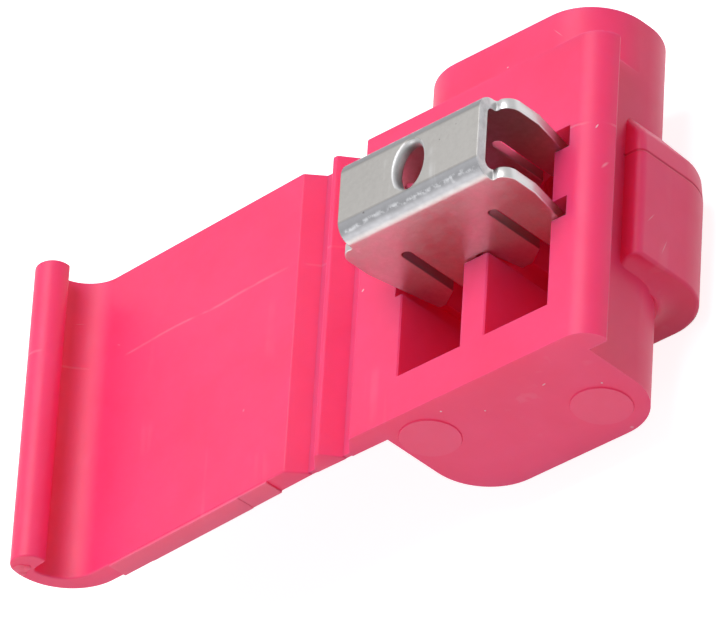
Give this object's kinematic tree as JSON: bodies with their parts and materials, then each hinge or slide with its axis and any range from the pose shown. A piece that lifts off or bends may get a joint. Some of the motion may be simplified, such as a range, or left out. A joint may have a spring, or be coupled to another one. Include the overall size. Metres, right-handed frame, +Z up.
{
  "type": "insulation displacement wire connector",
  "caption": "Snap-shut splice connector: moulded housing with parallel wire channels, a living-hinge lid with a latch hook and a U-shaped insulation displacement contact.",
  "frame": {"origin": "middle of the flat underside of the belly, on which the part stands", "axes": "+X from the lid towards the latch ledge, +Y along the wire channels towards their entry end, +Z up"},
  "size_m": [0.0314, 0.0183, 0.0132],
  "materials": {
    "housing_plastic": "satin",
    "contact_metal": "matte tin plating over copper alloy"
  },
  "bodies": {
    "housing": {"body": "housing_plastic"},
    "strip": {"hinge_rib": "housing_plastic"},
    "lid": {"lid": "housing_plastic"},
    "contact": {"contact": "contact_metal"}
  },
  "joints": [
    {"name": "strip_fold", "type": "hinge", "parent": "housing", "child": "strip", "pos_m": [-0.00762, 0, 0.00775], "axis": [0, 1, 0], "range_deg": [0, 90]},
    {"name": "lid_fold", "type": "hinge", "parent": "strip", "child": "lid", "pos_m": [-0.0096, 0, 0.00775], "axis": [0, 1, 0], "range_deg": [0, 84]},
    {"name": "contact_press", "type": "slide", "parent": "housing", "child": "contact", "axis": [0, 0, -1], "range_m": [0, 0.0043]}
  ],
  "couplings": [
    {"joint": "contact_press", "follows": "strip_fold", "m_per_rad": 0.002737}
  ]
}
